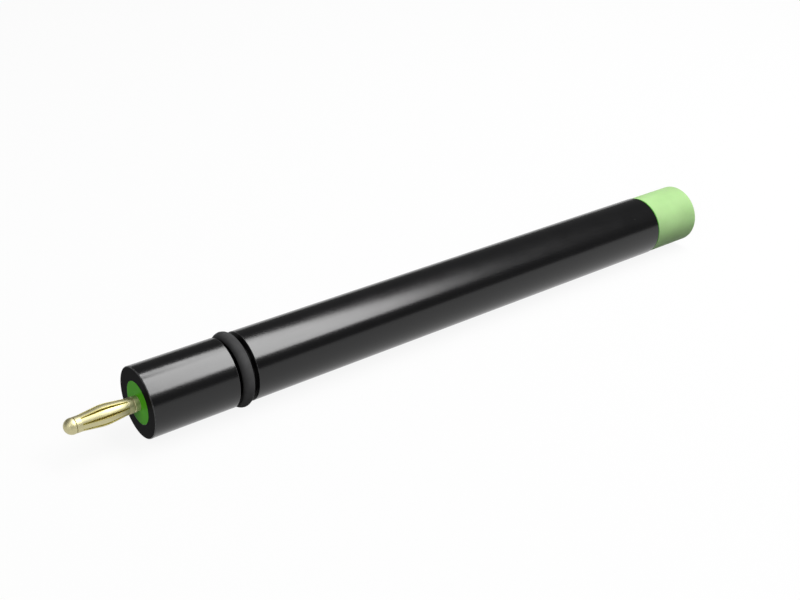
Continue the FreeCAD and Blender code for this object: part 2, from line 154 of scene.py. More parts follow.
class ProbeSizes(bpy.types.PropertyGroup):
    """Sizes of the surfaces, the same as those of the solids that they stand for."""
    barrel_radius: size("Barrel radius", "Outside of the barrel", BARREL_HIGH.y / MM)
    barrel_length: size("Barrel length", "Rear face to the seam", BARREL_HIGH.x / MM)
    barrel_edge: size("Barrel edge", "Rounding of the barrel's outer edges", 0.18)
    fine_edge: size("Fine edge", "Rounding of the sharp turned corners", 0.04)
    bore_radius: size("Bore radius", "Bore through the barrel", 4.2)
    bond_gap: size("Bond gap", "Film of adhesive between two round faces", 0.03)
    groove_start: size("Groove start", "Rear face to the sealing ring's groove", 20.0)
    groove_width: size("Groove width", "Width of that groove", 4.7)
    groove_depth: size("Groove depth", "Depth of that groove", 1.95)
    groove_edge: size("Groove edge", "Rounding of the groove's edges", 0.12)
    ring_section: size("Ring section", "Half the thickness of the sealing ring", 1.31)
    ring_radius: size("Ring radius", "Axis to the middle of the ring's section", 7.37)
    ring_flash: size("Flash", "Height of the moulding line on the sealing ring", 0.014)
    tip_radius: size("Tip radius", "Outside of the tip", 7.88)
    tip_end: size("Tip end", "Rear face of the barrel to the tip's end face", TIP_HIGH.x / MM)
    tip_edge: size("Tip edge", "Rounding round the tip's end face", 0.15)
    tip_seam_edge: size("Seam edge", "Chamfer on the tip at the seam", 0.22)
    socket_radius: size("Socket radius", "Counterbore for the tip's spigot", 6.2)
    socket_depth: size("Socket depth", "Depth of that counterbore", 14.0)
    spigot_gap: size("Spigot gap", "End of the spigot to the counterbore's floor", 0.3)
    spigot_edge: size("Spigot edge", "Lead-in chamfer of the spigot", 0.4)
    spigot_groove_start: size("Spigot groove start", "Seam to the spigot's ring groove", 4.6)
    spigot_groove_width: size("Spigot groove width", "Width of that groove", 1.9)
    spigot_groove_depth: size("Spigot groove depth", "Depth of that groove", 1.2)
    chamber_radius: size("Chamber radius", "Electrolyte chamber in the tip", 3.6)
    membrane_radius: size("Membrane radius", "Sensing membrane", 4.9)
    membrane_thickness: size("Membrane thickness", "Sensing membrane", 0.5)
    membrane_recess: size("Membrane recess", "Membrane below the end face", 0.3)
    bush_radius: size("Bush radius", "Green bush in the rear face", 4.8)
    bush_length: size("Bush length", "Length of the bush", 12.0)
    glue_groove_pitch: size("Glue groove pitch", "Spacing of the adhesive grooves", 3.0)
    glue_groove_width: size("Glue groove width", "Width of each adhesive groove", 1.0)
    glue_groove_depth: size("Glue groove depth", "Depth of each adhesive groove", 0.4)
    core_radius: size("Core radius", "Core of the pin inside the cage", 1.49)
    collar_radius: size("Base collar radius", "Collar of the pin against the bush", 1.7)
    collar_length: size("Base collar length", "Length of that collar", 1.2)
    collar_edge: size("Base collar edge", "Chamfer of that collar", 0.15)
    head_radius: size("Head radius", "Ball of the pin's head", 1.76)
    head_length: size("Head length", "Back of the head to the tip of the ball", 2.2)
    cage_float: size("Cage float", "Play between the cage and its two stops", 0.12)
    cage_length: size("Cage length", "Cage from end to end", 12.4)
    cage_collar: size("Cage collar", "Length of each collar of the cage", 1.15)
    cage_radius: size("Cage collar radius", "Outside of the cage's collars", 1.74)
    crown_radius: size("Crown radius", "Outside of the bowed leaves at their crown", 2.28)
    crown_bend: size("Crown bend", "Bend of the leaves along their crown", 11.5)
    crown_length: size("Crown length", "Length of that bend", 2.96)
    sheet: size("Spring sheet", "Thickness of the spring sheet", 0.2)
    slot_width: size("Slot width", "Slot between two leaves at the crown", 0.44)
    slot_end_width: size("Slot end width", "The same slot at its ends", 0.14)
    seam_width: size("Seam width", "Butt seam of the rolled sheet", 0.1)
    shank_radius: size("Shank radius", "Shank of the pin inside the bush", 1.2)
    barb_radius: size("Barb radius", "Barbs that hold the shank", 1.45)
    barb_length: size("Barb length", "Length of one barb", 1.5)
    barb_start: size("Barb start", "Rear face to the first barb", 2.5)
    shank_length: size("Shank length", "Rear face to the end of the solder cup", 17.0)
    cup_depth: size("Cup depth", "Depth of the solder cup", 3.2)
    cup_radius: size("Cup radius", "Hole of the solder cup", 0.75)
    cup_cut: size("Cup opening", "Stretch where half of the cup's wall is cut away", 1.6)
    leaves: whole("Leaves", "Leaves of the cage", 8, 3)
    segments: whole("Segments", "Steps round a turned surface", 224, 32)
    pin_segments: whole("Pin segments", "Steps round the contact pin", 128, 32)


class ProbeFinish(bpy.types.PropertyGroup):
    """Colours and gloss of the surfaces that show."""
    barrel: colour("Barrel", "Black plastic of the barrel", (0.0025, 0.0025, 0.0028))
    barrel_gloss: share("Barrel roughness", "Roughness of the polished barrel", 0.19)
    face_gloss: share("Face roughness", "Roughness of the faced rear end", 0.36)
    barrel_worn: colour("Barrel wear", "The barrel's plastic along worn edges", (0.05, 0.05, 0.052))
    # Partly painted sheen: the tip's colour is its light green plastic made paler, in place of a
    # broad white sheen.
    tip: colour("Tip", "Satin skin of the light green tip", (0.31, 0.49, 0.215))
    tip_gloss: share("Tip roughness", "Roughness of the satin tip", 0.48)
    # Painted shade: a deep green on the seam chamfer, in place of the shading that makes it read
    # darker than the pale skin.
    tip_seam_shade: colour("Tip cut", "The same plastic where it is cut, at the seam", (0.05, 0.30, 0.01))
    bush: colour("Bush", "Deep green plastic of the bush", (0.075, 0.42, 0.008))
    bush_gloss: share("Bush roughness", "Roughness of the bush", 0.2)
    gold: colour("Gold", "Pale plating of the plug", (0.59, 0.55, 0.33))
    gold_gloss: share("Plating roughness", "Roughness of the plated pin", 0.48)
    # Painted shade: a darker, deeper gold along the sides of the cage's leaves, beside the slots.
    gold_edge_shade: colour("Gold edge", "Deeper gold along the cut edges", (0.50, 0.44, 0.11))
    # Painted shade: a deeper yellow gold on the pin's core and the cage's inner faces, in place of
    # the shade inside the cage.
    gold_inside_shade: colour("Gold inside", "Duller plating inside the cage", (0.74, 0.64, 0.24))
    rubber: colour("Rubber", "Black rubber of the sealing ring", (0.056, 0.056, 0.057))
    membrane: colour("Membrane", "Plasticised sensing membrane", (0.62, 0.52, 0.33))


class ProbeStage(bpy.types.PropertyGroup):
    """Camera, floor and light."""
    camera_place: triple("Camera place", "Where the camera stands",
                         (-0.078126, -0.188494, 0.121794), "TRANSLATION", unit="LENGTH",
                         precision=6)
    camera_aim: triple("Camera direction", "Where it looks", (0.55087, 0.70550, -0.44588),
                       "DIRECTION")
    lens: amount("Lens", "Focal length in millimetres on a 36 mm sensor", 50.0, 1.0)
    floor_reach: amount("Floor reach", "Middle of the floor to its rim", 6.0, 0.1, unit="LENGTH")
    rim_height: amount("Rim height", "How far the floor rises at its rim", 0.5, unit="LENGTH")
    floor_colour: colour("Floor", "Colour of the floor in the light that it throws back",
                         (0.16, 0.16, 0.16))
    floor_seen: colour("Floor as seen", "Paler colour on which the camera sees the shadow",
                       (0.6, 0.6, 0.6))
    floor_white: share("Floor whiteness", "White added to the floor as it is seen", 0.905)
    world_strength: amount("Room light", "Even light from all round", 0.12)
    key_radiance: amount("Key brightness", "Brightness of the soft lamps", 10.8)
    key_distance: amount("Key distance", "Axis of the probe to the lamps", 0.70, 0.1, unit="LENGTH")
    key_tilt: amount("Key tilt", "Tilt of the lamps about the probe", math.radians(31.7),
                     math.radians(-90), subtype="ANGLE")
    side_place: triple("Side place", "Where the weak side lamp hangs", (-0.62, -0.30, 0.42),
                       "TRANSLATION", unit="LENGTH")
    side_width: amount("Side width", "Side of the square side lamp", 0.5, 0.01, unit="LENGTH")
    side_radiance: amount("Side brightness", "Brightness of that lamp", 2.4)


# The soft lamps lie in one plane. Each is given by its reach along X and its reach across, from the
# foot of the line that joins the probe's axis to the plane, in metres, and by its share of the
# key's brightness.
LAMPS = {
    "key_near": ((0.215, 0.541), (-0.220, 0.531), 1.0),
    "key_far": ((0.345, 0.541), (0.531, 1.100), 1.0),
    "fill": ((-0.500, 0.215), (-0.150, 0.500), 0.11),
}


# Surfaces

def rounded_profile(corners, closed):
    """Points (x, r) along a profile gone round with the material on its left, and two values per
    point. Each corner (x, r, rounding) becomes an arc that touches both its sides; each straight
    run gets points near its ends, so that flat stays flat. The value edge falls from 1 on an outer
    edge to 0 away from it. The value end_face is 1 on faces that lie across the axis, 0 on those
    that lie along it, and half on roundings."""
    place = np.array([corner[:2] for corner in corners], float)
    ahead = np.roll(place, -1, 0) - place
    run = np.hypot(*ahead.T)
    way = ahead / run[:, None]
    points, turns = [], []
    for index, corner in enumerate(corners):
        inner = closed or 0 < index < len(corners) - 1
        before, after = way[index - 1], way[index]
        turn = math.atan2(before[0] * after[1] - before[1] * after[0], before @ after)
        if not inner or corner[2] == 0 or abs(turn) < LEAST_TURN:
            points.append(place[index:index + 1])
            turns.append(0.0)
            continue
        bend = math.tan(abs(turn) / 2)
        reach = min(corner[2] * bend, ROUNDING_SHARE * run[index - 1], ROUNDING_SHARE * run[index])
        radius = math.copysign(reach / bend, turn)
        start = place[index] - before * reach
        centre = start + radius * np.array([-before[1], before[0]])
        angle = turn * np.linspace(0, 1, ARC_STEPS + 1)[:, None]
        arm = start - centre
        side = np.array([-arm[1], arm[0]])
        points.append(centre + arm * np.cos(angle) + side * np.sin(angle))
        turns.append(turn)
    out, edge, end_face = [], [], []
    count = len(corners)
    for index in range(count):
        arc = points[index]
        out.append(arc)
        edge.append(np.full(len(arc), float(turns[index] > EDGE_TURN)))
        end_face.append(np.full(len(arc), 0.5))
        if not closed and index == count - 1:
            break
        following = (index + 1) % count
        start, end = arc[-1], points[following][0]
        length = np.hypot(*(end - start))
        near = SUPPORT[SUPPORT < SUPPORT_SHARE * length]
        along = np.concatenate([near, (length - near)[::-1]])
        out.append(start + (end - start) * (along / length)[:, None])
        edge.append(np.exp(-along / WEAR_REACH) * (turns[index] > EDGE_TURN)
                    + np.exp(-(length - along) / WEAR_REACH) * (turns[following] > EDGE_TURN))
        end_face.append(np.full(len(along), float(abs(way[index][0]) < 0.5)))
    return np.concatenate(out), {"edge": np.concatenate(edge),
                                 "end_face": np.concatenate(end_face)}


def revolved(along, radius, steps):
    """Points (x, r cos a, r sin a) for each x with its r, by even angles a."""
    angle = np.arange(steps) * (2 * np.pi / steps)
    along, radius = along[:, None], radius[:, None]
    return np.stack([along + 0 * angle, radius * np.cos(angle), radius * np.sin(angle)],
                    -1).reshape(-1, 3)


def ring_quads(rows, steps, closed):
    """Four-sided faces between each ring of points and the next, all the way round. Where closed
    is true, the last ring joins the first."""
    row = np.arange(rows if closed else rows - 1)[:, None]
    column = np.arange(steps)[None, :]
    below, aside = (row + 1) % rows, (column + 1) % steps
    return np.stack([row * steps + column, below * steps + column, below * steps + aside,
                     row * steps + aside], -1).reshape(-1, 4).tolist()


def turned_surface(profile, closed, steps):
    """Surface of revolution about X: the profile's point (x, r) at the angle a is
    (x, r cos a, r sin a), on a grid of profile points by even angles. A profile that starts and
    ends on the axis closes in a pole at each end."""
    points, values = profile
    ringed = slice(None) if closed else slice(1, -1)
    vertices = revolved(points[ringed, 0], points[ringed, 1], steps)
    values = {name: np.repeat(value[ringed], steps) for name, value in values.items()}
    count = len(points[ringed])
    faces = ring_quads(count, steps, closed)
    if not closed:
        first, last = len(vertices), len(vertices) + 1
        vertices = np.concatenate([vertices, [[points[0, 0], 0, 0], [points[-1, 0], 0, 0]]])
        values = {name: np.append(value, [0, 0]) for name, value in values.items()}
        column = np.arange(steps)
        aside, base = (column + 1) % steps, (count - 1) * steps
        faces += np.stack([column * 0 + first, column, aside], -1).tolist()
        faces += np.stack([base + column, column * 0 + last, base + aside], -1).tolist()
    return vertices, faces, values


def torus_surface(middle, ring_radius, section, flash, steps):
    """Ring about X: at the angle a round the ring and b round its section the point is
    (middle - h sin b, (R + h cos b) cos a, (R + h cos b) sin a), where h is the section's radius
    less the moulding line's height, plus a narrow ridge of that height at b = 0 and b = 180
    degrees."""
    even = np.linspace(0, 2 * np.pi, SECTION_STEPS, endpoint=False)
    close = np.linspace(-FLASH_REACH, FLASH_REACH, FLASH_STEPS)
    b = np.unique(np.round(np.concatenate([even, close % (2 * np.pi), close + np.pi]), 6))
    ridge = np.exp(-(np.abs(np.sin(b)) / FLASH_SPREAD) ** 2)
    height = section - flash + flash * ridge
    vertices = revolved(middle - height * np.sin(b), ring_radius + height * np.cos(b), steps)
    return vertices, ring_quads(len(b), steps, True), {}


def bowl_surface(reach, rise, level):
    """Floor about Z that turns up into a backdrop at its rim. With b from 0 to 90 degrees and f for
    the rim's start, the rim runs through (f reach + (1 - f) reach sin b, level + rise (1 - cos b)),
    and the part inside it is flat."""
    b = np.linspace(0, np.pi / 2, RIM_STEPS)
    radius = reach * np.concatenate([FLOOR_RINGS, RIM_START + (1 - RIM_START) * np.sin(b)])
    height = level + rise * np.concatenate([0 * FLOOR_RINGS, 1 - np.cos(b)])
    vertices = revolved(height, radius, FLOOR_STEPS)[:, [1, 2, 0]]
    return vertices, [list(range(FLOOR_STEPS))] + ring_quads(len(radius), FLOOR_STEPS, False)


def cup_opened(surface, profile, opening, steps):
    """Takes the half above the axis off the wall of the solder cup beyond x = opening. The rows of
    the profile between its two points there lose their upper half, and a step face and two flat
    sides close what is left."""
    vertices, faces, values = surface
    points = profile[0]
    level = np.flatnonzero(np.abs(points[:, 0] - opening) < TOUCHING) - 1
    first, last = int(level[0]), int(level[1])
    half = steps // 2
    face_rows = np.array([min(face[:2]) // steps for face in faces])
    columns = np.array([face[0] % steps for face in faces])
    quads = np.array([len(face) == 4 for face in faces])
    gone = quads & (face_rows >= first) & (face_rows < last) & (columns < half)
    kept = [face for face, out in zip(faces, gone) if not out]
    column = np.arange(half)
    step = np.stack([first * steps + column, last * steps + column, last * steps + column + 1,
                     first * steps + column + 1], -1)
    rows = np.arange(first, last + 1) * steps
    kept += step.tolist() + [(rows + half)[::-1].tolist(), rows.tolist()]
    used = np.unique(np.concatenate([np.array(face) for face in kept]))
    renumber = np.zeros(len(vertices), int)
    renumber[used] = np.arange(len(used))
    kept = [renumber[face].tolist() for face in kept]
    return vertices[used], kept, {name: value[used] for name, value in values.items()}


def cage_outline(s, d):
    """Radius of the lantern cage and half the width of a slot, at the distance d from the cage's
    middle. The radius is a circular crown, then a straight slope down to the collar, where the
    slope fades out softly. The half width is a circular arc in d."""
    leaf_half, crown_half = s.cage_length / 2 - s.cage_collar, s.crown_length / 2
    crown = np.sqrt(s.crown_bend ** 2 - np.minimum(d, crown_half) ** 2) - s.crown_bend
    sag = s.crown_bend - math.sqrt(s.crown_bend ** 2 - crown_half ** 2)
    slope = (s.crown_radius - sag - s.cage_radius) / (leaf_half - crown_half)
    line = s.cage_radius + slope * SLOPE_FADE * np.logaddexp(0, (leaf_half - d) / SLOPE_FADE)
    bow = (s.slot_width - s.slot_end_width) / 2
    side = (leaf_half ** 2 + bow ** 2) / (2 * bow)
    drop = np.sqrt(side ** 2 - np.minimum(d, leaf_half) ** 2) - side
    return np.where(d < crown_half, s.crown_radius + crown, line), s.slot_width / 2 + drop


def cage_surface(s):
    """Outside of the lantern cage as a grid of rows along X by columns round it: the point is
    (x, r cos a, r sin a), with r from cage_outline. The columns of a leaf leave half a slot at each
    of its sides; rows in the two collars are joined across it, apart from the butt seam. The value
    edge falls from 1 at the sides of a leaf, and is 0 on the collars."""
    half = s.cage_length / 2
    leaf_half = half - s.cage_collar
    middle = -(s.collar_length + s.cage_float) - half
    even = np.linspace(LEAF_EVEN_START, leaf_half, LEAF_EVEN_ROWS)
    from_end = np.concatenate([COLLAR_ROWS, s.cage_collar + LEAF_FIRST_ROWS, s.cage_collar + even])
    offset = np.concatenate([half - from_end, (from_end - half)[:-1][::-1]])
    d = np.abs(offset)
    radius, open_half = cage_outline(s, d)
    collar = d > leaf_half + TOUCHING
    widths = np.repeat(open_half[:, None], s.leaves, 1)
    widths[collar, 0] = s.seam_width / 2
    gap = np.arcsin(widths / radius[:, None])
    corner = SEAM_ANGLE + 2 * np.pi / s.leaves * np.arange(s.leaves + 1)
    start = corner[:-1] + gap
    end = corner[1:] - np.roll(gap, -1, 1)
    across = (1 - np.cos(np.linspace(0, np.pi, LEAF_COLUMNS))) / 2
    angle = start[..., None] + (end - start)[..., None] * across
    reach = radius[:, None, None]
    vertices = np.stack([middle + offset[:, None, None] + 0 * angle, reach * np.cos(angle),
                         reach * np.sin(angle)], -1).reshape(-1, 3)
    number = np.arange(angle.size).reshape(angle.shape)
    leaf_quads = np.stack([number[:-1, :, :-1], number[1:, :, :-1], number[1:, :, 1:],
                           number[:-1, :, 1:]], -1).reshape(-1, 4)
    on_collar = (d[:-1] > leaf_half - TOUCHING) & (d[1:] > leaf_half - TOUCHING)
    left, right = number[:, :-1, -1], number[:, 1:, 0]
    joined = np.stack([left[:-1], left[1:], right[1:], right[:-1]], -1)[on_collar].reshape(-1, 4)
    from_side = np.tile(np.minimum(across, 1 - across), len(d) * s.leaves)
    edge = np.exp(-from_side * EDGE_FALL) * np.repeat(~collar, s.leaves * LEAF_COLUMNS)
    return vertices, leaf_quads.tolist() + joined.tolist(), {"edge": edge}


def placed(name, data):
    """An object with that data, put in the scene."""
    thing = bpy.data.objects.new(name, data)
    bpy.context.scene.collection.objects.link(thing)
    return thing


def smooth_object(name, vertices, faces, material):
    mesh = bpy.data.meshes.new(name)
    mesh.from_pydata(vertices.tolist(), [], faces)
    mesh.shade_smooth()
    mesh.materials.append(material)
    return placed(name, mesh)


def new_piece(name, surface, material, body, slot, *nodes):
    """A mesh object that stands for the named solids and rides on a body."""
    vertices, faces, values = surface
    piece = smooth_object(name, vertices, faces, material)
    for label, value in values.items():
        piece.data.attributes.new(label, "FLOAT", "POINT").data.foreach_set("value", value)
    if piece.data.validate():
        raise RuntimeError(name + " has faulty faces")
    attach(piece, body)
    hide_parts(*nodes)
    return piece


# Shader helpers

def add_node(tree, kind, inputs=(), **settings):
    """A node with its settings, and its inputs either linked, if they are sockets, or set."""
    node = tree.nodes.new("ShaderNode" + kind)
    for name, value in settings.items():
        setattr(node, name, value)
    for name, value in dict(inputs).items():
        if isinstance(value, bpy.types.NodeSocket):
            tree.links.new(value, node.inputs[name])
        else:
            node.inputs[name].default_value = value
    return node


def maths(tree, operation, *values, clamp=False):
    node = add_node(tree, "Math", enumerate(values), operation=operation, use_clamp=clamp)
    return node.outputs[0]


def spread(tree, value, low, high, out_low, out_high, soft=False):
    """Maps low..high to out_low..out_high, and no further."""
    ends = {0: value, 1: low, 2: high, 3: out_low, 4: out_high}
    node = add_node(tree, "MapRange", ends, clamp=True,
                    interpolation_type="SMOOTHSTEP" if soft else "LINEAR")
    return node.outputs[0]


def blended(tree, fac, first, second):
    """Colour that goes from the first to the second as fac goes from 0 to 1."""
    def four(value):
        return value if isinstance(value, bpy.types.NodeSocket) else (*value[:3], 1.0)
    node = add_node(tree, "Mix", {0: fac, 6: four(first), 7: four(second)}, data_type="RGBA")
    return node.outputs[2]


def link(tree, value, node, label):
    tree.links.new(value, node.inputs[label])


def object_place(tree):
    """Place on the object, in metres."""
    return add_node(tree, "TexCoord").outputs["Object"]


def noise_at(tree, place, scale, detail, roughness=0.5):
    node = add_node(tree, "TexNoise", {"Vector": place, "Scale": scale, "Detail": detail,
                                       "Roughness": roughness})
    return node.outputs["Fac"]


def new_group(name, inputs, outputs):
    """Empty node group with float inputs (name, default) and float outputs. Also returns the
    sockets that bring the inputs, and the node that takes the outputs."""
    tree = bpy.data.node_groups.new(name, "ShaderNodeTree")
    for label, default in inputs:
        socket = tree.interface.new_socket(label, in_out="INPUT", socket_type="NodeSocketFloat")
        socket.default_value = default
    for label in outputs:
        tree.interface.new_socket(label, in_out="OUTPUT", socket_type="NodeSocketFloat")
    given = tree.nodes.new("NodeGroupInput").outputs
    return tree, given, tree.nodes.new("NodeGroupOutput")


def group_turning():
    """Fine rings that a lathe tool leaves: noise over (x, r), so it is the same all round apart
    from a slow wander. Pitch is the rings' spacing in metres."""
    tree, given, out = new_group("turning marks", [("Pitch", 0.15 * MM), ("Wander", 0.6)],
                                 ["Height"])
    place = object_place(tree)
    axis = add_node(tree, "SeparateXYZ", {0: place})
    flat = add_node(tree, "CombineXYZ", {"Y": axis.outputs["Y"], "Z": axis.outputs["Z"]})
    reach = add_node(tree, "VectorMath", {0: flat.outputs[0]}, operation="LENGTH")
    drift = noise_at(tree, place, 140.0, 1.0)
    along = maths(tree, "DIVIDE", axis.outputs["X"], given["Pitch"])
    along = maths(tree, "MULTIPLY_ADD", drift, given["Wander"], along)
    outward = maths(tree, "DIVIDE", reach.outputs["Value"], given["Pitch"])
    rings = add_node(tree, "CombineXYZ", {"X": along, "Y": outward})
    link(tree, noise_at(tree, rings.outputs[0], 1.0, 3.0, 0.6), out, "Height")
    return tree


def group_streaks():
    """Hairlines along X: noise stretched to Length by Width, both in metres."""
    tree, given, out = new_group("hairlines", [("Length", 20 * MM), ("Width", 0.2 * MM)], ["Value"])
    place = object_place(tree)
    axis = add_node(tree, "SeparateXYZ", {0: place})
    lines = add_node(tree, "CombineXYZ", {
        "X": maths(tree, "DIVIDE", axis.outputs["X"], given["Length"]),
        "Y": maths(tree, "DIVIDE", axis.outputs["Y"], given["Width"]),
        "Z": maths(tree, "DIVIDE", axis.outputs["Z"], given["Width"])})
    link(tree, noise_at(tree, lines.outputs[0], 1.0, 4.0, 0.65), out, "Value")
    return tree


def group_mottle():
    """Clouds of the given size in metres, for colour and gloss that vary a little."""
    tree, given, out = new_group("mottle", [("Size", 8 * MM), ("Detail", 3.0)], ["Value"])
    place = object_place(tree)
    scale = maths(tree, "DIVIDE", 1.0, given["Size"])
    link(tree, noise_at(tree, place, scale, given["Detail"]), out, "Value")
    return tree


def group_specks():
    """Sparse specks of dust: round spots in some cells of a cell pattern. Spacing and Size are in
    metres, Share says how many cells have one."""
    tree, given, out = new_group(
        "specks", [("Spacing", 1.5 * MM), ("Size", 0.06 * MM), ("Share", 0.2)], ["Mask"])
    place = object_place(tree)
    scale = maths(tree, "DIVIDE", 1.0, given["Spacing"])
    cells = add_node(tree, "TexVoronoi", {"Vector": place, "Scale": scale})
    chance = add_node(tree, "SeparateColor", {0: cells.outputs["Color"]})
    here = maths(tree, "LESS_THAN", chance.outputs[0], given["Share"])
    reach = maths(tree, "DIVIDE", given["Size"], given["Spacing"])
    reach = maths(tree, "MULTIPLY", reach, chance.outputs[1])
    spot = maths(tree, "LESS_THAN", cells.outputs["Distance"], reach)
    link(tree, maths(tree, "MULTIPLY", spot, here), out, "Mask")
    return tree


def group_wear():
    """Ragged wear of an edge: the edge value, broken up by noise, past a threshold that falls as
    Amount rises."""
    tree, given, out = new_group("edge wear", [("Edge", 0.0), ("Amount", 0.4), ("Size", 1 * MM)],
                                 ["Mask"])
    place = object_place(tree)
    scale = maths(tree, "DIVIDE", 1.0, given["Size"])
    ragged = maths(tree, "MULTIPLY_ADD", noise_at(tree, place, scale, 4.0), given["Edge"],
                   maths(tree, "MULTIPLY", given["Edge"], 0.5))
    low = maths(tree, "SUBTRACT", 1.2, given["Amount"])
    high = maths(tree, "ADD", low, 0.25)
    link(tree, spread(tree, ragged, low, high, 0.0, 1.0, True), out, "Mask")
    return tree


GROUPS = {}


def use_group(tree, maker, inputs=()):
    """Places a shared group, which its maker builds at its first use, and returns its output."""
    if maker not in GROUPS:
        GROUPS[maker] = maker()
    return add_node(tree, "Group", inputs, node_tree=GROUPS[maker]).outputs[0]


def new_material(name, **constants):
    """Material with one Principled shader whose constant inputs are set on its own sockets."""
    material = bpy.data.materials.new(name)
    material.use_nodes = True
    tree = material.node_tree
    tree.nodes.clear()
    shader = add_node(tree, "BsdfPrincipled",
                      {label.replace("_", " "): value for label, value in constants.items()})
    out = add_node(tree, "OutputMaterial", {"Surface": shader.outputs[0]})
    out.is_active_output = True
    return material, tree, shader


def surfaced(tree, shader, tone, rough, height, depth):
    """Feeds colour, roughness and a height of the given depth in metres to the shader."""
    node = add_node(tree, "Bump", {"Height": height, "Distance": depth, "Strength": 1.0})
    link(tree, tone, shader, "Base Color")
    link(tree, rough, shader, "Roughness")
    link(tree, node.outputs[0], shader, "Normal")


def mesh_value(tree, name):
    """The value of that name at each point of the mesh."""
    return add_node(tree, "Attribute", attribute_name=name).outputs["Fac"]


def lighter(value, factor):
    return tuple(min(1.0, part * factor) for part in value)


def varied(tree, noise, low, high):
    """Goes from low to high with the noise."""
    return spread(tree, noise, NOISE_LOW, NOISE_HIGH, low, high)


def clouded(tree, noise, base, dark, light):
    """Colour that goes from the base times dark to the base times light with the noise."""
    return blended(tree, varied(tree, noise, 0.0, 1.0), lighter(base, dark), lighter(base, light))


def share_of(tree, mask, most):
    return maths(tree, "MULTIPLY", mask, most)


def total(tree, first, *others):
    """Sum of the values, held between 0 and 1."""
    result = first
    for value in others:
        result = maths(tree, "ADD", result, value, clamp=True)
    return result


def plastic(name, base, gloss, level, pitch, depth, worn_colour, wear=0.35, dust=0.18, cut=None,
            **constants):
    """Turned plastic: slight clouds in the colour, gloss that varies with handling and hairlines,
    lathe rings in the surface, and edges worn a little. The colour cut, a painted shade, shows
    where the mesh's value of that name is 1."""
    material, tree, shader = new_material(name, Specular_IOR_Level=level, **constants)
    clouds = use_group(tree, group_mottle, {"Size": 7 * MM})
    worn = use_group(tree, group_wear, {"Edge": mesh_value(tree, "edge"), "Amount": wear,
                                        "Size": 0.8 * MM})
    specks = use_group(tree, group_specks, {"Spacing": 1.7 * MM, "Size": 0.09 * MM, "Share": dust})
    hair = use_group(tree, group_streaks, {"Length": 14 * MM, "Width": 0.12 * MM})
    tone = clouded(tree, clouds, base, 0.93, 1.07)
    tone = blended(tree, share_of(tree, worn, 0.6), tone, worn_colour)
    # Painted shade: the colour cut goes where the mesh's value cut is 1.
    if cut is not None:
        tone = blended(tree, mesh_value(tree, "cut"), tone, cut)
    tone = blended(tree, share_of(tree, specks, 0.35), tone, HARD_DUST)
    rough = total(tree, varied(tree, clouds, gloss - 0.012, gloss + 0.012),
                  spread(tree, hair, 0.45, 0.75, 0.0, 0.05), share_of(tree, worn, 0.15),
                  share_of(tree, mesh_value(tree, "end_face"), 0.1), share_of(tree, specks, 0.3))
    rings = use_group(tree, group_turning, {"Pitch": pitch})
    surfaced(tree, shader, tone, rough, rings, depth)
    return material


def metal(name, base, gloss, along, inside=None, rim=None):
    """Plated metal, rolled (lines along X, where along is true) or turned (rings), with slight
    clouds in the gloss. The colour inside, a painted shade, shows where the mesh's value of that
    name is 1, and the colour rim, a painted shade, darkens the metal along its edges."""
    material, tree, shader = new_material(name, Metallic=1.0)
    clouds = use_group(tree, group_mottle, {"Size": 1.6 * MM})
    edge = mesh_value(tree, "edge")
    worn = use_group(tree, group_wear, {"Edge": edge, "Amount": 0.3, "Size": 0.5 * MM})
    tone = clouded(tree, clouds, base, 0.96, 1.03)
    tone = blended(tree, share_of(tree, worn, 0.3), tone, lighter(base, 1.12))
    # Painted shade: the rim colour darkens the metal along its edges.
    if rim is not None:
        tone = blended(tree, spread(tree, edge, 0.25, 0.7, 0.0, 0.9, True), tone, rim)
    # Painted shade: the inside colour goes where the mesh's value inside is 1.
    if inside is not None:
        tone = blended(tree, mesh_value(tree, "inside"), tone, inside)
    if along:
        lines = use_group(tree, group_streaks, {"Length": 5 * MM, "Width": 0.05 * MM})
    else:
        lines = use_group(tree, group_turning, {"Pitch": 0.08 * MM})
    rough = total(tree, varied(tree, clouds, gloss - 0.02, gloss + 0.02),
                  spread(tree, lines, 0.4, 0.7, 0.0, 0.05))
    surfaced(tree, shader, tone, rough, lines, 0.0006 * MM)
    return material


def soft_matter(name, base, gloss, grain, depth, **constants):
    """Moulded or cast matter: fine grain, clouds in the colour, a little dust."""
    material, tree, shader = new_material(name, **constants)
    clouds = use_group(tree, group_mottle, {"Size": 3 * MM})
    fine = use_group(tree, group_mottle, {"Size": grain, "Detail": 2.0})
    specks = use_group(tree, group_specks, {"Spacing": 1.1 * MM, "Size": 0.08 * MM, "Share": 0.3})
    tone = clouded(tree, clouds, base, 0.85, 1.15)
    tone = blended(tree, share_of(tree, specks, 0.25), tone, SOFT_DUST)
    rough = varied(tree, fine, gloss - 0.05, gloss + 0.05)
    surfaced(tree, shader, tone, rough, fine, depth)
    return material


# Operators

def soft_lamp(name, place, width, height, radiance):
    """Rectangular lamp whose energy in watts gives its surface the radiance."""
    lamp = placed(name, bpy.data.lights.new(name, "AREA"))
    lamp.data.shape = "RECTANGLE"
    lamp.data.size, lamp.data.size_y = width, height
    lamp.data.energy = radiance * math.pi * width * height
    lamp.location = place
    return lamp


